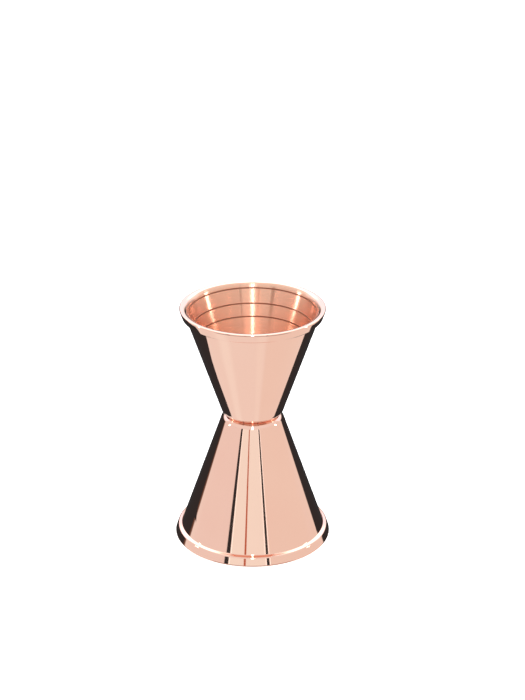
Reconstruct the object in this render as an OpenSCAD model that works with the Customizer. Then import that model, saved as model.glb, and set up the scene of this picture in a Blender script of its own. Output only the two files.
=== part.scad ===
// Bar jigger: two sheet-metal measuring cups joined floor to floor.
// Sizes are in mm. +Z runs along the axis, and the origin is the centre of the
// plane that the lower mouth rests on. The smaller cup opens upwards.

/* [Overall] */
// Height of the lower, larger cup, from its mouth to the outside of its floor
lower_h = 43.2; // [32:0.1:60]
// Height of the upper, smaller cup, from its mouth to the outside of its floor
upper_h = 36.8; // [28:0.1:55]
// Outside diameter of the lower mouth, before its edge is rounded
base_d = 51.2; // [42:0.1:65]
// Outside diameter of the upper mouth, before its edge is rounded
rim_d = 46.8; // [38:0.1:60]
// Outside diameter of both cones at the floors, before the corners are rounded
waist_d = 19.2; // [15:0.1:26]

/* [Sheet] */
// Thickness of the sheet that both cups are spun from
sheet_t = 1.25; // [1:0.05:1.6]
// Outside corner radius round the upper cup's floor
upper_floor_r = 2.0; // [1.7:0.1:3]
// Outside corner radius round the lower cup's floor
lower_floor_r = 2.6; // [1.7:0.1:3.4]

/* [Hem] */
// Height of the hem under each mouth, where the sheet is folded out and down
hem_h = 2.9; // [2.4:0.1:4]
// Thickness that the hem adds to the wall, measured level
hem_t = 1.15; // [1:0.05:1.6]
// How much lower the hem's cut edge is at the cone than at its outside
hem_drop = 0.3; // [0.1:0.05:0.6]
// Rounding on the hem's cut edge, upper cup
upper_hem_r = 0.5; // [0.3:0.05:0.8]
// Rounding on the hem's cut edge, lower cup
lower_hem_r = 0.6; // [0.4:0.05:1.0]
// Radius in the hollow between the hem's cut edge and the cone
hollow_r = 0.25; // [0.15:0.05:0.4]
// Rounding on the outer corner of the rim
rim_out_r = 0.4; // [0.2:0.05:0.6]
// Rounding on the inner corner of the rim, a wide one that leads into the cone
rim_in_r = 2.0; // [1:0.1:2.2]

/* [Measure lines] */
// Share of the upper cup's capacity that the top line marks
top_line_fill = 0.91; // [0.86:0.005:0.915]
// Share of the upper cup's capacity that the middle line marks
middle_line_fill = 0.69; // [0.6:0.005:0.85]
// Share of the upper cup's capacity that the lowest line marks
low_line_fill = 0.53; // [0.3:0.005:0.57]
// Radius of the round-nosed groove of a line, which is also its depth
line_r = 0.22; // [0.1:0.02:0.3]

/* [Weld] */
// Diameter of the spot weld's nugget where the floors meet
weld_d = 5; // [3:0.1:8]
// Diameter of the nugget at its two ends
weld_end_d = 3.8; // [2:0.1:7]
// Share of each floor's thickness that the nugget reaches into
weld_depth = 0.55; // [0.3:0.05:0.7]

/* [Hidden] */
$fn = 96;
// discs are this much larger than their arc, so that they cross the sides they meet
hair = 0.0002;
joint_z = lower_h;
waist_r = waist_d / 2;
weld_reach = sheet_t * weld_depth;

// ---- one cup, seen from its floor: z = 0 is the floor's outside face ----

// radial growth of a cup's cone for each mm of height
function slope(h, mouth_r) = (mouth_r - hem_t - waist_r) / h;
// outside of the cone, and of the hem that runs parallel to it
function cone_r(h, mouth_r, z) = waist_r + slope(h, mouth_r) * z;
function hem_out_r(h, mouth_r, z) = cone_r(h, mouth_r, z) + hem_t;
// the sheet's thickness measured level, across the sloping wall
function wall(h, mouth_r) = sheet_t * sqrt(1 + pow(slope(h, mouth_r), 2));
// inside of the cone
function in_r(h, mouth_r, z) = cone_r(h, mouth_r, z) - wall(h, mouth_r);
// height at which the hem's cut edge meets the cone
function hem_foot_z(h) = h - hem_h - hem_drop;

// points of an outline as [r, z, corner radius], from the axis round to the axis
function outside_path(h, mouth_r, floor_r, hem_r) = [
    [0, 0, 0],
    [waist_r, 0, floor_r],
    [cone_r(h, mouth_r, hem_foot_z(h)), hem_foot_z(h), hollow_r],
    [hem_out_r(h, mouth_r, h - hem_h), h - hem_h, hem_r],
    [mouth_r, h, rim_out_r],
    [0, h, 0]
];

// the corner between the inside wall and the flat of the rim, before it is rounded
function rim_corner(h, mouth_r) =
    [[in_r(h, mouth_r, sheet_t), sheet_t], [in_r(h, mouth_r, h), h], [mouth_r, h]];

// the hollow of the cup, which runs on past the mouth
function inside_path(h, mouth_r, floor_r) =
    let (edge = cut(rim_corner(h, mouth_r), rim_in_r))
    [
        [0, sheet_t, 0],
        [in_r(h, mouth_r, sheet_t), sheet_t, floor_r - sheet_t],
        [edge[0][0], edge[0][1], 0],
        [edge[1][0], edge[1][1], 0],
        [edge[1][0], h + 1, 0],
        [0, h + 1, 0]
    ];

// ---- round corners: the corner is cut straight across between the two points
// where its arc begins and ends, and a disc then adds the arc or hollows it out ----
function flat(p) = [p[0], p[1]];
function near(path, i) =
    let (n = len(path))
    [flat(path[(i + n - 1) % n]), flat(path[i]), flat(path[(i + 1) % n])];
function toward(p, q, d) = p + (q - p) * d / norm(q - p);
function half_angle(c) =
    acos((c[0] - c[1]) * (c[2] - c[1]) / (norm(c[0] - c[1]) * norm(c[2] - c[1]))) / 2;
function cut(c, r) = [
    toward(c[1], c[0], r / tan(half_angle(c))),
    toward(c[1], c[2], r / tan(half_angle(c)))
];
function centre(c, r) =
    let (e = cut(c, r))
    toward(c[1], (e[0] + e[1]) / 2, r / sin(half_angle(c)));
function turns_left(c) = cross(c[1] - c[0], c[2] - c[1]) > 0;

module discs(path, outward) {
    for (i = [0 : len(path) - 1])
        if (path[i][2] > 0 && turns_left(near(path, i)) == outward)
            translate(centre(near(path, i), path[i][2])) circle(r = path[i][2] + hair);
}

module rounded(path) {
    difference() {
        union() {
            polygon([
                for (i = [0 : len(path) - 1])
                    each (path[i][2] > 0 ? cut(near(path, i), path[i][2]) : [flat(path[i])])
            ]);
            discs(path, true);
        }
        discs(path, false);
    }
}

// section of a cup's sheet, with the hem pressed tight against the wall
module cup_section(h, mouth_r, floor_r, hem_r) {
    difference() {
        rounded(outside_path(h, mouth_r, floor_r, hem_r));
        rounded(inside_path(h, mouth_r, floor_r));
    }
    intersection() {
        rounded(outside_path(h, mouth_r, floor_r, hem_r));
        translate(centre(rim_corner(h, mouth_r), rim_in_r)) circle(r = rim_in_r + hair);
    }
}

// ---- measure lines of the upper cup ----
upper_s = slope(upper_h, rim_d / 2);
floor_in_r = in_r(upper_h, rim_d / 2, sheet_t);
brim_in_r = in_r(upper_h, rim_d / 2, upper_h);
// inside radius of the cone when it is filled to a share of its capacity
function fill_r(share) =
    pow(pow(floor_in_r, 3) + share * (pow(brim_in_r, 3) - pow(floor_in_r, 3)), 1 / 3);
function fill_z(share) = sheet_t + (fill_r(share) - floor_in_r) / upper_s;

module line_section(share) {
    translate([fill_r(share), fill_z(share)]) circle(r = line_r);
}

// ---- the weld ----
module nugget() {
    rotate_extrude()
        polygon([
            [0, -weld_reach],
            [weld_end_d / 2, -weld_reach],
            [weld_d / 2, 0],
            [weld_end_d / 2, weld_reach],
            [0, weld_reach]
        ]);
}

// ---- sub-parts ----

// The smaller cup, mouth up, with three measure lines rolled into its inside
module upper_cup() {
    color([0.90, 0.62, 0.52])
        translate([0, 0, joint_z])
            difference() {
                rotate_extrude()
                    difference() {
                        cup_section(upper_h, rim_d / 2, upper_floor_r, upper_hem_r);
                        for (share = [top_line_fill, middle_line_fill, low_line_fill])
                            line_section(share);
                    }
                nugget();
            }
}

// The larger cup, mouth down; its rim is what the jigger stands on
module lower_cup() {
    color([0.86, 0.58, 0.48])
        difference() {
            translate([0, 0, joint_z])
                mirror([0, 0, 1])
                    rotate_extrude()
                        cup_section(lower_h, base_d / 2, lower_floor_r, lower_hem_r);
            translate([0, 0, joint_z]) nugget();
        }
}

// The spot weld that holds the two floors together
module weld_nugget() {
    color([0.55, 0.55, 0.57])
        translate([0, 0, joint_z]) nugget();
}

upper_cup();
lower_cup();
weld_nugget();
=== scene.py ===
# %% [markdown]
# # A copper-plated bar jigger
#
# A jigger is two measuring cups joined floor to floor. Each cup is one sheet of stainless
# steel, spun into a cone with a thick hem and a rounded rim, polished, and plated with
# copper. The CAD model gives the sizes and the places. Here the same cups are modelled
# again with finer curves, because polished metal shows every flat, and get their finish.

# %% The frame
import math

import bmesh
import bpy
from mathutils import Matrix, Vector


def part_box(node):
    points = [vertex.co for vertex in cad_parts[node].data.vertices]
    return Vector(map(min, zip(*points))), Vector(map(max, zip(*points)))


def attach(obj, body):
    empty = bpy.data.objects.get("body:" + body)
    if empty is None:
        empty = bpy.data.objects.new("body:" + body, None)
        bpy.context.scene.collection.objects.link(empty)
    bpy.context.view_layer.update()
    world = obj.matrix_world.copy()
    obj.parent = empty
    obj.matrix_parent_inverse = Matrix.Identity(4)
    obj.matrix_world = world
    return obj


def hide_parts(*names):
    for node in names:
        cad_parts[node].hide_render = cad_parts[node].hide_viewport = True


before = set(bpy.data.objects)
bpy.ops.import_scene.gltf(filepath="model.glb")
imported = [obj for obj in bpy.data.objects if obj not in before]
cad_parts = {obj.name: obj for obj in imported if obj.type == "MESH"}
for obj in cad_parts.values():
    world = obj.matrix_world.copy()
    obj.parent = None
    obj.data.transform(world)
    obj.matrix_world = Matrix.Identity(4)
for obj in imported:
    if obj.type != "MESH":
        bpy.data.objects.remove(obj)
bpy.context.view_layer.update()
scene = bpy.context.scene

# %% [markdown]
# All sizes are in metres in Blender. `MM` turns millimetres into metres, so the numbers
# below read like those on a drawing. Heights and mouth sizes come from the frame. Only
# what a box can't tell, such as the thickness of the sheet, is written down here.

# %% Sizes that a box can't tell
MM = 0.001
SHEET = 1.25 * MM  # thickness of the sheet
WAIST_R = 9.6 * MM  # radius of both cones at the floors
HEM_H = 2.9 * MM  # height of the hem, the thick band round the mouth
HEM_T = 1.15 * MM  # thickness that the hem adds to the wall, measured level
HEM_DROP = 0.3 * MM  # how much lower the hem's cut edge is at the cone
RIM_OUT_R = 0.4 * MM  # rounding on the outer corner of the rim
RIM_IN_R = 2.0 * MM  # wide rounding on the inner corner, which leads into the cone
HOLLOW_R = 0.25 * MM  # radius in the hollow between the hem and the cone
LINE_R = 0.22 * MM  # radius of a measure line's groove
UPPER_FLOOR_R = 2.0 * MM  # outside corner radius round the upper cup's floor
LOWER_FLOOR_R = 2.6 * MM  # and round the lower cup's floor
UPPER_HEM_R = 0.5 * MM  # rounding on the hem's cut edge, upper cup
LOWER_HEM_R = 0.6 * MM  # and lower cup
LINES = (0.91, 0.69, 0.53)  # shares of the upper cup's capacity that its lines mark
AROUND = 256  # faces around each cup

upper_low, upper_high = [Vector(corner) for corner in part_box("upper_cup")]
lower_low, lower_high = [Vector(corner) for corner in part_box("lower_cup")]
JOINT_Z = upper_low.z
print("the cups meet", round(JOINT_Z / MM, 2), "mm above the base")

# %% [markdown]
# ## Camera
#
# The jigger is seen from a little above and from nearly eight times its own height away,
# through a long lens. A long lens keeps both cones nearly free of perspective, as
# in a catalogue picture. The lens is shifted sideways a little, so that the jigger stands
# left of the middle with its axis upright. Turning the camera would tilt the axis.

# %% The camera
CAMERA_AWAY = 0.5545
CAMERA_UP = 0.3085
AIM = Vector((0.0, 0.0, 0.0650))

camera_data = bpy.data.cameras.new("camera")
camera_data.lens = 97.5
camera_data.shift_x = 0.0142
camera_data.clip_start = 0.01
camera = bpy.data.objects.new("camera", camera_data)
camera.location = (0.0, -CAMERA_AWAY, CAMERA_UP)
camera.rotation_mode = "QUATERNION"
camera.rotation_quaternion = (AIM - camera.location).to_track_quat("-Z", "Y")
scene.collection.objects.link(camera)
scene.camera = camera
scene.view_settings.view_transform = "Standard"
looks_down = math.degrees(math.atan2(CAMERA_UP - AIM.z, CAMERA_AWAY))
print("the camera looks down", round(looks_down, 1), "degrees")

# %% [markdown]
# ## Small helpers
#
# `linear` turns a colour as a designer writes it into the linear light that a shader
# works in. `add` makes one node, sets its values and links its inputs.


# %% Helpers
def linear(hex_colour):
    def channel(pair):
        v = int(pair, 16) / 255
        return v / 12.92 if v <= 0.04045 else ((v + 0.055) / 1.055) ** 2.4

    return tuple(channel(hex_colour[i : i + 2]) for i in (0, 2, 4)) + (1.0,)


def add(tree, kind, values=None, **settings):
    node = tree.nodes.new(kind)
    for name, value in settings.items():
        setattr(node, name, value)
    for socket, value in (values or {}).items():
        if isinstance(value, bpy.types.NodeSocket):
            tree.links.new(value, node.inputs[socket])
        else:
            node.inputs[socket].default_value = value
    return node


def nothing_selected():
    if bpy.context.object and bpy.context.object.mode != "OBJECT":
        bpy.ops.object.mode_set(mode="OBJECT")
    bpy.ops.object.select_all(action="DESELECT")


# %% [markdown]
# ## The studio
#
# Polished metal has hardly any look of its own: it shows the studio around it. The studio
# here is a world of soft panels. Each panel is a patch of sky, given by its bearing and
# its height in degrees. Bearing 0 is where the camera stands and 90 is to its right.
# A patch lies over the ones before it, like cut paper. Far panels suit cones: along
# one straight line up a cone the metal faces one way, so a far panel shows as a
# clean wedge that follows the cone.

# %% The panels
PLAIN_SKY = (0.95, 0.98, 0.98)
WHITE = (0.93, 0.93, 0.93)
COOL = (0.95, 0.98, 0.97)
WARM = (0.93, 0.92, 0.88)
CREAM = (1.00, 1.12, 1.10)
LEFT_STRIP = (0.99, 1.07, 1.06)
RIGHT_STRIP = (0.97, 1.02, 1.00)
BLACK = (0.035, 0.037, 0.040)
RUST = (0.55, 0.16, 0.09)
BROWN = (0.16, 0.09, 0.06)
GLOW = (1.40, 1.40, 1.60)
SHADE = (0.30, 0.20, 0.16)
EDGE = (1.60, 1.75, 1.75)
HIGH = (2.5, 2.5, 2.5)
LAMP = (14.0, 14.0, 14.0)

# name, light, bearing from and to, height from and to, softness of its edges
PANELS = [
    ("floor sheet left", COOL, -200, 34, -91, -4, 6),
    ("floor sheet right", WARM, 34, 200, -91, -4, 6),
    ("pale strip on the floor, left", LEFT_STRIP, -82, -58, -91, -35, 8),
    ("pale strip on the floor, right", RIGHT_STRIP, 12, 30, -91, -35, 6),
    ("front wall", WHITE, -112, 112, -6, 30, 3),
    ("right wall", WARM, 24, 112, -6, 30, 3),
    ("shade under the table edge", SHADE, -60, 60, -40, -6, 4),
    ("middle card", CREAM, -35.5, 21.5, 1, 24, 0.5),
    ("bright edge of the card, left", EDGE, -34.6, -32.6, 1, 24, 0.4),
    ("bright edge of the card, right", EDGE, 18.8, 25.4, 1, 24, 0.4),
    ("gap left of the card", BLACK, -40.3, -34.0, -2, 24, 0.6),
    ("gap right of the card", BLACK, 20.0, 24.2, -2, 24, 0.5),
    ("red cord", RUST, -12.4, -9.5, 1, 24, 0.4),
    ("brown edge of the dark room", BROWN, -119, -113, -32, 12, 1.5),
    ("dark room, left", BLACK, -200, -117, -32, 12, 1.5),
    ("dark room, right", BLACK, 122, 200, -32, 12, 1.5),
    ("back light, left", GLOW, -200, -118, 17, 40, 3),
    ("back light, right", GLOW, 118, 200, 17, 40, 3),
    ("high light behind, left", HIGH, -200, -142, 30, 80, 5),
    ("high light behind, right", HIGH, 142, 200, 30, 80, 5),
    ("front lamp", LAMP, -2.2, 2.2, 26, 62, 0.8),
    ("left lamp", LAMP, -92.5, -88.5, 8, 24, 0.8),
    ("right lamp", LAMP, 88.5, 92.5, 8, 24, 0.8),
]

# %% [markdown]
# The world's shader turns each direction into a bearing and a height. It then lays the
# panels over a plain grey-white sky, one Mix node for each.

# %% Bearing and height of a direction
world = bpy.data.worlds.new("studio")
scene.world = world
world.use_nodes = True
sky = world.node_tree
sky.nodes.clear()


def maths(operation, a, b=0.0):
    return add(sky, "ShaderNodeMath", {0: a, 1: b}, operation=operation).outputs[0]


direction = add(sky, "ShaderNodeTexCoord").outputs["Generated"]
axes = add(sky, "ShaderNodeSeparateXYZ", {0: direction})
to_camera = maths("MULTIPLY", axes.outputs["Y"], -1.0)
bearing = maths("DEGREES", maths("ARCTAN2", axes.outputs["X"], to_camera))
height = maths("DEGREES", maths("ARCSINE", axes.outputs["Z"]))


# %% Laying the panels
def between(value, low, high, soft):
    """1 from low to high and 0 outside, with a soft change"""
    steps = []
    for at in (low, high):
        ends = {"Value": value, "From Min": at - soft, "From Max": at + soft}
        step = add(sky, "ShaderNodeMapRange", ends, interpolation_type="SMOOTHSTEP")
        steps.append(step.outputs["Result"])
    return maths("SUBTRACT", steps[0], steps[1])


light = add(sky, "ShaderNodeRGB").outputs[0]
light.default_value = (*PLAIN_SKY, 1.0)
for name, colour, left, right, low, high, soft in PANELS:
    patch = maths("MULTIPLY", between(bearing, left, right, soft), between(height, low, high, soft))
    layer = add(sky, "ShaderNodeMix", {0: patch, 6: light}, data_type="RGBA", label=name)
    layer.inputs[7].default_value = (*colour, 1.0)
    light = layer.outputs[2]
background = add(sky, "ShaderNodeBackground", {"Color": light})
add(sky, "ShaderNodeOutputWorld", {"Surface": background.outputs[0]})
print(len(PANELS), "panels in the studio")

# %% [markdown]
# ## Floor and black flags
#
# The floor is a pale sheet that glows a little, so it stays nearly white under the jigger. It
# is kept out of reflections, because the panels already say what the metal sees below.
#
# Photographers lay black cards, called flags, beside shiny things to draw a dark edge
# on them. Two flags lie on the floor, left and right behind the jigger. They are near, so
# their edges cross the cones at a slant, which no far panel can do. The camera doesn't
# see them, as if they had been cut out of the picture afterwards.


# %% The floor
def pale_paper():
    material = bpy.data.materials.new("pale paper")
    material.use_nodes = True
    shader = material.node_tree.nodes["Principled BSDF"]
    shader.inputs["Base Color"].default_value = linear("ffffff")
    shader.inputs["Roughness"].default_value = 1.0
    shader.inputs["Emission Color"].default_value = (1, 1, 1, 1)
    shader.inputs["Emission Strength"].default_value = 0.6
    return material


nothing_selected()
bpy.ops.mesh.primitive_circle_add(vertices=64, radius=2.5, fill_type="NGON")
floor = bpy.context.object
floor.name = "floor"
floor.data.materials.append(pale_paper())
floor.visible_glossy = False
print("the floor is", round(floor.dimensions.x, 1), "m across")


# %% The flags
def black_velvet():
    material = bpy.data.materials.new("black velvet")
    material.use_nodes = True
    tree = material.node_tree
    tree.nodes.clear()
    glow = add(tree, "ShaderNodeEmission", {"Color": (*BLACK, 1.0)})
    add(tree, "ShaderNodeOutputMaterial", {"Surface": glow.outputs[0]})
    return material


velvet = black_velvet()
FLAG_HEIGHT = 0.4 * MM
# corners in millimetres, as (right, back) from the jigger's axis
LEFT_FLAG = [(-43, 2), (-43, 34), (-30, 66), (0, 104), (0, 1500), (-1200, 1500), (-1200, 743)]
LEFT_FLAG += [(-96, 36), (-84, 11), (-73, 17), (-64, 15)]
RIGHT_FLAG = [(38, 1), (1200, 872), (1200, 1500), (0, 1500), (0, 104), (30, 66), (40, 34)]


def lay_flag(name, corners):
    nothing_selected()
    bpy.ops.mesh.primitive_circle_add(vertices=len(corners), radius=1.0, fill_type="NGON")
    flag = bpy.context.object
    flag.name = name
    for vertex, (x, y) in zip(flag.data.vertices, corners):
        vertex.co = (x * MM, y * MM, FLAG_HEIGHT)
    flag.data.materials.append(velvet)
    flag.visible_camera = False
    flag.visible_shadow = False
    flag.visible_diffuse = False
    return flag


left_flag = lay_flag("left_flag", LEFT_FLAG)
right_flag = lay_flag("right_flag", RIGHT_FLAG)
print("flags:", left_flag.name, "and", right_flag.name)

# %% [markdown]
# ## Finishes
#
# Copper plate is a bare metal, so its colour is in its reflection and it has no diffuse
# part. Outside, the steel below was buffed to a mirror before plating. A buffed mirror is
# never perfect: it has a faint haze in patches a few millimetres wide, and hair-fine
# rings from the lathe. Both are kept very weak, because the mirror has to stay clear.


# %% Buffed copper plate
def buffed_copper():
    material = bpy.data.materials.new("buffed copper plate")
    material.use_nodes = True
    tree = material.node_tree
    shader = tree.nodes["Principled BSDF"]
    place = add(tree, "ShaderNodeTexCoord").outputs["Object"]
    # patches of haze about 4 mm wide
    haze = add(tree, "ShaderNodeTexNoise", {"Vector": place, "Scale": 250.0, "Detail": 3.0})
    rough = {"Value": haze.outputs[0], "From Min": 0.35, "From Max": 0.65}
    rough.update({"To Min": 0.03, "To Max": 0.06})
    roughness = add(tree, "ShaderNodeMapRange", rough)
    # the plating is a little paler or redder in areas about 15 mm wide
    area = add(tree, "ShaderNodeTexNoise", {"Vector": place, "Scale": 65.0, "Detail": 1.0})
    tint = add(tree, "ShaderNodeMix", {0: area.outputs[0]}, data_type="RGBA")
    tint.inputs[6].default_value = linear("f7cbb9")
    tint.inputs[7].default_value = linear("f5c5b3")
    # buffing rings are thousandths of a millimetre apart; drawn 0.4 mm apart to show at all
    rings_only = add(tree, "ShaderNodeMapping", {"Vector": place, "Scale": (30.0, 30.0, 2500.0)})
    rings = add(tree, "ShaderNodeTexNoise", {"Vector": rings_only.outputs[0], "Scale": 1.0})
    relief = {"Height": rings.outputs[0], "Strength": 0.04, "Distance": 0.01 * MM}
    bump = add(tree, "ShaderNodeBump", relief)
    tree.links.new(tint.outputs[2], shader.inputs["Base Color"])
    tree.links.new(roughness.outputs[0], shader.inputs["Roughness"])
    tree.links.new(bump.outputs[0], shader.inputs["Normal"])
    shader.inputs["Metallic"].default_value = 1.0
    return material


buffed = buffed_copper()
print("made", buffed.name)

# %% [markdown]
# Inside, the tool that spun the cup left fine rings, and the plating follows them. Rings
# that run round the axis spread a lamp's reflection up and down the wall, so a lamp shows
# as an upright streak. The shader's anisotropy does that spreading. Its natural
# direction is round the axis, and the quarter turn on Anisotropic Rotation makes the
# streaks stand up.


# %% Spun copper plate
def spun_copper():
    material = bpy.data.materials.new("spun copper plate")
    material.use_nodes = True
    tree = material.node_tree
    shader = tree.nodes["Principled BSDF"]
    place = add(tree, "ShaderNodeTexCoord").outputs["Object"]
    # tool rings are about 0.1 mm apart; drawn 0.35 mm apart so that they can be seen
    rings_only = add(tree, "ShaderNodeMapping", {"Vector": place, "Scale": (3.0, 3.0, 2800.0)})
    ring_look = {"Vector": rings_only.outputs[0], "Scale": 1.0, "Detail": 4.0}
    rings = add(tree, "ShaderNodeTexNoise", ring_look)
    tint = add(tree, "ShaderNodeMix", {0: rings.outputs[0]}, data_type="RGBA")
    tint.inputs[6].default_value = linear("f5c4ac")
    tint.inputs[7].default_value = linear("eeb89e")
    rough = {"Value": rings.outputs[0], "From Min": 0.3, "From Max": 0.7}
    rough.update({"To Min": 0.24, "To Max": 0.28})
    roughness = add(tree, "ShaderNodeMapRange", rough)
    relief = {"Height": rings.outputs[0], "Strength": 0.02, "Distance": 0.01 * MM}
    bump = add(tree, "ShaderNodeBump", relief)
    tree.links.new(tint.outputs[2], shader.inputs["Base Color"])
    tree.links.new(roughness.outputs[0], shader.inputs["Roughness"])
    tree.links.new(bump.outputs[0], shader.inputs["Normal"])
    shader.inputs["Metallic"].default_value = 1.0
    shader.inputs["Anisotropic"].default_value = 1.0
    shader.inputs["Anisotropic Rotation"].default_value = 0.25
    return material


spun = spun_copper()
print("made", spun.name)

# %% [markdown]
# The measure lines are darker than the wall. The copper in the grooves is rougher, with a
# fine grain, and its colour is painted darker: painted shade that stands in for the shade
# falling into the grooves.


# %% Rough copper with painted groove shade
def rough_copper_with_painted_shade():
    material = bpy.data.materials.new("rough copper plate with painted groove shade")
    material.use_nodes = True
    tree = material.node_tree
    shader = tree.nodes["Principled BSDF"]
    place = add(tree, "ShaderNodeTexCoord").outputs["Object"]
    # grains of plating about 0.2 mm wide, drawn coarser than the real ones
    grain = add(tree, "ShaderNodeTexNoise", {"Vector": place, "Scale": 5000.0})
    tint = add(tree, "ShaderNodeMix", {0: grain.outputs[0]}, data_type="RGBA")
    # painted shade: both colours are darker than the wall's copper, standing in for the shade in
    # the grooves
    tint.inputs[6].default_value = linear("b98068")
    tint.inputs[7].default_value = linear("a1664f")
    tree.links.new(tint.outputs[2], shader.inputs["Base Color"])
    shader.inputs["Metallic"].default_value = 1.0
    shader.inputs["Roughness"].default_value = 0.42
    return material


rough_painted_shade = rough_copper_with_painted_shade()
print("made", rough_painted_shade.name)

# %% [markdown]
# The spot weld between the floors is hidden. It is bare steel that melted and froze again,
# so it is dull and a little mottled. Its CAD shape is right, so it only gets a material.


# %% Fused steel
def fused_steel():
    material = bpy.data.materials.new("fused stainless steel")
    material.use_nodes = True
    tree = material.node_tree
    shader = tree.nodes["Principled BSDF"]
    place = add(tree, "ShaderNodeTexCoord").outputs["Object"]
    # grains about half a millimetre wide, as in a cast metal
    grain = add(tree, "ShaderNodeTexVoronoi", {"Vector": place, "Scale": 2000.0})
    tint = add(tree, "ShaderNodeMix", {0: grain.outputs["Distance"]}, data_type="RGBA")
    tint.inputs[6].default_value = linear("a9a8a6")
    tint.inputs[7].default_value = linear("8f8e8d")
    relief = {"Height": grain.outputs["Distance"], "Strength": 0.3, "Distance": 0.02 * MM}
    bump = add(tree, "ShaderNodeBump", relief)
    tree.links.new(tint.outputs[2], shader.inputs["Base Color"])
    tree.links.new(bump.outputs[0], shader.inputs["Normal"])
    shader.inputs["Metallic"].default_value = 1.0
    shader.inputs["Roughness"].default_value = 0.45
    return material


nugget = bpy.data.objects["weld_nugget"]
if not nugget.material_slots:
    nugget.data.materials.append(None)
for spot in nugget.material_slots:
    spot.material = fused_steel()
print("the weld has", len(nugget.material_slots), "material")

# %% [markdown]
# ## The outline of a cup
#
# A cup is the same all the way round, so its section says everything. `cup_corners`
# works out the section's corners with the CAD's rules: the cone and the hem lean alike,
# and the inside is one straight wall from the floor to the rim.
# Each corner is (radius, height above the cup's floor), and comes with its rounding.


# %% Corners of the section
def lean_of(h, mouth_r):
    return (mouth_r - HEM_T - WAIST_R) / h


def cup_corners(h, mouth_r, floor_r, hem_r):
    lean = lean_of(h, mouth_r)
    wall = SHEET * math.hypot(1, lean)
    foot_z = h - HEM_H - HEM_DROP

    def cone(z):
        return WAIST_R + lean * z

    return {
        "floor": (WAIST_R, 0.0, floor_r),
        "foot": (cone(foot_z), foot_z, HOLLOW_R),
        "hem": (cone(h - HEM_H) + HEM_T, h - HEM_H, hem_r),
        "rim": (mouth_r, h, RIM_OUT_R),
        "inner rim": (cone(h) - wall, h, RIM_IN_R),
        "inner floor": (cone(SHEET) - wall, SHEET, floor_r - SHEET),
    }


# %% [markdown]
# The CAD's box gives the widest radius of the rounded rim. The corner before rounding
# stands a little further out, by an amount that depends on the cone's lean, which in turn
# depends on that corner. A few passes settle it.


# %% The rim's corner before rounding
def sharp_mouth(widest_r, h):
    mouth_r = widest_r
    for _ in range(5):
        lean = lean_of(h, mouth_r)
        mouth_r = widest_r + RIM_OUT_R * (lean + math.hypot(1, lean) - 1)
    return mouth_r


upper_h = upper_high.z - upper_low.z
lower_h = lower_high.z - lower_low.z
upper_mouth_r = sharp_mouth(upper_high.x, upper_h)
lower_mouth_r = sharp_mouth(lower_high.x, lower_h)
print("mouth radii, mm:", round(upper_mouth_r / MM, 2), round(lower_mouth_r / MM, 2))

# %% [markdown]
# A measure line is a round-nosed groove rolled into the inside of the upper cup. It marks a
# share of the cup's capacity. The volume in a cone grows with the cube of its radius, which
# gives the radius of the line.


# %% Rings of the outline
def steps_between(a, b, count):
    """points from a to b, without a"""
    shares = [i / count for i in range(1, count + 1)]
    return [(a[0] + (b[0] - a[0]) * s, a[1] + (b[1] - a[1]) * s) for s in shares]


GROOVE_STEPS = 8  # faces across a groove


def line_rings(share, c, h, mouth_r):
    lean = lean_of(h, mouth_r)
    low, high = c["inner floor"][0], c["inner rim"][0]
    r = (low**3 + share * (high**3 - low**3)) ** (1 / 3)
    z = SHEET + (r - low) / lean
    tilt = math.atan(lean)
    rings = []
    for i in range(GROOVE_STEPS + 1):
        along = LINE_R * math.cos(math.pi * i / GROOVE_STEPS)
        into = LINE_R * math.sin(math.pi * i / GROOVE_STEPS)
        ring_r = r + along * math.sin(tilt) + into * math.cos(tilt)
        ring_z = z + along * math.cos(tilt) - into * math.sin(tilt)
        rings.append((ring_r, ring_z))
    return rings


def cup_rings(c, h, mouth_r, lines):
    """all rings from the floor's outside corner, over the rim, to its inside corner"""
    at = {name: corner[:2] for name, corner in c.items()}
    rings = [at["floor"]]
    rings += steps_between(at["floor"], at["foot"], 16)
    rings += [at["hem"]]
    rings += steps_between(at["hem"], at["rim"], 2)
    rings += [at["inner rim"]]
    for share in lines:
        groove = line_rings(share, c, h, mouth_r)
        # the rim's rounding needs the stretch above the first line to itself
        count = 1 if share == lines[0] else 4
        rings += steps_between(rings[-1], groove[0], count) + groove[1:]
    rings += steps_between(rings[-1], at["inner floor"], 12)
    return rings


# %% [markdown]
# ## Making a cup
#
# A cup starts as one ring of edges at the floor's corner. The ring is extruded and
# resized again and again: up the outside, over the rim, and back down the inside. A
# spinner works the sheet in the same way, one pass after another. A turned outline from
# the spin operator would do too, but then its seam has to be welded.


# %% Finding and extruding a ring
NEAR = 0.002 * MM  # how close to a ring an edge counts as lying on it
FLOOR_RING = 0.3  # radius of the small ring inside a floor's corner, as a share of it


def select_ring(cup, r, z):
    """selects the edges that lie on one ring"""
    mesh = bmesh.from_edit_mesh(cup.data)
    for part in list(mesh.edges) + list(mesh.verts) + list(mesh.faces):
        part.select = False
    for edge in mesh.edges:
        off = [abs(math.hypot(v.co.x, v.co.y) - r) + abs(v.co.z - z) for v in edge.verts]
        if max(off) < NEAR:
            edge.select = True
    bmesh.update_edit_mesh(cup.data)


def extrude_ring(now, to):
    """carries the selected ring from one (radius, height) to the next"""
    lift = {"value": (0, 0, to[1] - now[1])}
    bpy.ops.mesh.extrude_edges_move(TRANSFORM_OT_translate=lift)
    k = to[0] / now[0]
    bpy.ops.transform.resize(value=(k, k, 1), center_override=(0, 0, to[1]))


def close_floor(cup, ring):
    select_ring(cup, *ring)
    extrude_ring(ring, (ring[0] * FLOOR_RING, ring[1]))
    bpy.ops.mesh.extrude_edges_move()
    bpy.ops.mesh.merge(type="CENTER")


# %% [markdown]
# The corners are sharp at first. Each is then bevelled into an arc. The bevel's width is the
# distance from the corner to where the arc begins, which follows from the arc's radius and
# the angle of the corner.


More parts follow.
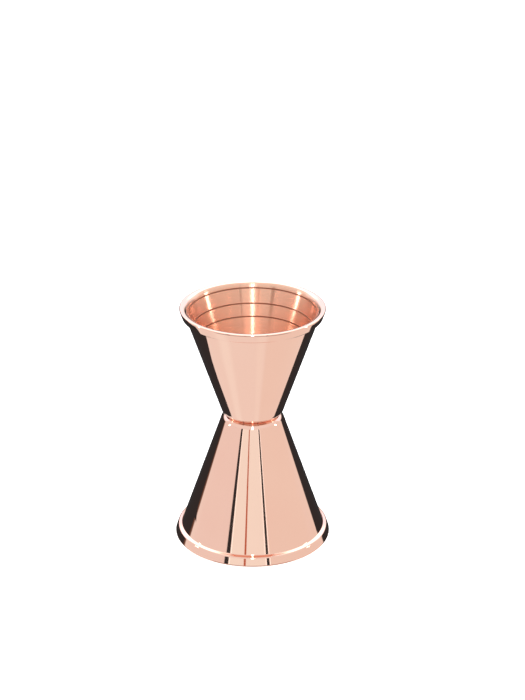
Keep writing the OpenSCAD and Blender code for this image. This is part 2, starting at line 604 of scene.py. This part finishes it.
# %% Rounding a corner
ARC_STEPS = 8  # faces across a rounded corner


def round_corner(cup, at, before, after):
    to_before = Vector((before[0] - at[0], before[1] - at[1]))
    to_after = Vector((after[0] - at[0], after[1] - at[1]))
    width = at[2] / math.tan(to_before.angle(to_after) / 2)
    select_ring(cup, at[0], at[1])
    bpy.ops.mesh.bevel(offset=width, offset_type="OFFSET", segments=ARC_STEPS, clamp_overlap=False)


def make_cup(name, h, mouth_r, floor_r, hem_r, lines):
    c = cup_corners(h, mouth_r, floor_r, hem_r)
    rings = cup_rings(c, h, mouth_r, lines)
    nothing_selected()
    bpy.ops.mesh.primitive_circle_add(vertices=AROUND, radius=rings[0][0])
    cup = bpy.context.object
    cup.name = name
    bpy.ops.object.mode_set(mode="EDIT")
    bpy.ops.mesh.select_mode(type="EDGE")
    bpy.ops.mesh.select_all(action="SELECT")
    for now, to in zip(rings, rings[1:]):
        extrude_ring(now, to)
    close_floor(cup, rings[0])
    close_floor(cup, rings[-1])
    bpy.ops.mesh.select_all(action="SELECT")
    bpy.ops.mesh.normals_make_consistent(inside=False)
    path = [(0.0, 0.0)] + list(c.values()) + [(0.0, SHEET)]
    for before, at, after in zip(path, path[1:], path[2:]):
        round_corner(cup, at, before, after)
    bpy.ops.object.mode_set(mode="OBJECT")
    return cup


# %% The two cups
upper_size = (upper_h, upper_mouth_r, UPPER_FLOOR_R, UPPER_HEM_R)
lower_size = (lower_h, lower_mouth_r, LOWER_FLOOR_R, LOWER_HEM_R)
upper = make_cup("upper_cup_plated", *upper_size, LINES)
lower = make_cup("lower_cup_plated", *lower_size, ())
for cup in (upper, lower):
    print(cup.name, "has", len(cup.data.polygons), "faces")

# %% [markdown]
# ## Finishing the cups
#
# The inside of each cone is spun copper, and so is the lower part of the rim's inner
# rounding. The top of the rim and the hem are buffed like the outside, and the grooves of
# the measure lines get rough copper whose darker colour is painted shade. Smooth shading
# hides the facets, the grooves' edges stay crisp, and weighted normals keep the straight
# walls straight right up to each corner, so that a panel's reflection doesn't bend there.


# %% Which finish a face has
# the third finish, for the grooves, is rough copper with painted shade in its colour
BUFFED, SPUN, ROUGH_PAINTED_SHADE = range(3)
BUFFED_ARC = 35  # degrees of the rim's inner rounding, from its top, that are buffed
IN_GROOVE = 0.02 * MM  # a face this far outside the wall lies in a groove
SHARP_ANGLE = 40  # degrees; edges that turn more than this stay crisp


def finish_of(face, h, mouth_r):
    r = math.hypot(face.center.x, face.center.y)
    z = face.center.z
    lean = lean_of(h, mouth_r)
    wall_r = WAIST_R + lean * z - SHEET * math.hypot(1, lean)
    rounding_foot = h - RIM_IN_R * (1 - math.sin(math.atan(lean)))
    spun_top = h - RIM_IN_R * (1 - math.cos(math.radians(BUFFED_ARC)))
    if not SHEET / 2 < z < spun_top or r > wall_r + SHEET / 2:
        return BUFFED
    in_groove = r > wall_r + IN_GROOVE and z < rounding_foot
    # a face in a groove gets the rough copper with painted shade
    return ROUGH_PAINTED_SHADE if in_groove else SPUN


def finish_cup(cup, h, mouth_r):
    nothing_selected()
    cup.select_set(True)
    bpy.context.view_layer.objects.active = cup
    cup.data.materials.append(buffed)
    cup.data.materials.append(spun)
    if any(finish_of(face, h, mouth_r) == ROUGH_PAINTED_SHADE for face in cup.data.polygons):
        cup.data.materials.append(rough_painted_shade)
    for face in cup.data.polygons:
        face.material_index = finish_of(face, h, mouth_r)
    bpy.ops.object.shade_smooth_by_angle(angle=math.radians(SHARP_ANGLE))
    even = cup.modifiers.new("even normals", "WEIGHTED_NORMAL")
    even.keep_sharp = True
    bpy.ops.object.modifier_apply(modifier=even.name)


finish_cup(upper, upper_h, upper_mouth_r)
finish_cup(lower, lower_h, lower_mouth_r)
for finish, name in ((BUFFED, "buffed"), (SPUN, "spun"), (ROUGH_PAINTED_SHADE, "rough_painted_shade")):
    print(name, "faces:", sum(face.material_index == finish for face in upper.data.polygons))

# %% [markdown]
# ## Placing the cups
#
# Both cups were made mouth up with their floors at the origin. They are moved to the joint,
# the lower one turned over, and the move is applied, so that each piece's object sits at
# the origin with its place in its mesh.


# %% Moving the cups to the joint
def move_to_joint(cup, turned_over):
    nothing_selected()
    cup.select_set(True)
    bpy.context.view_layer.objects.active = cup
    if turned_over:
        cup.rotation_euler = (math.pi, 0, 0)
    cup.location = (0, 0, JOINT_Z)
    bpy.ops.object.transform_apply(location=True, rotation=True, scale=True)


move_to_joint(upper, False)
move_to_joint(lower, True)

# %% Joining the pieces to the frame
for piece, node in ((upper, "upper_cup"), (lower, "lower_cup")):
    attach(piece, "root")
    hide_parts(node)
    print(piece.name, "stands for", node)
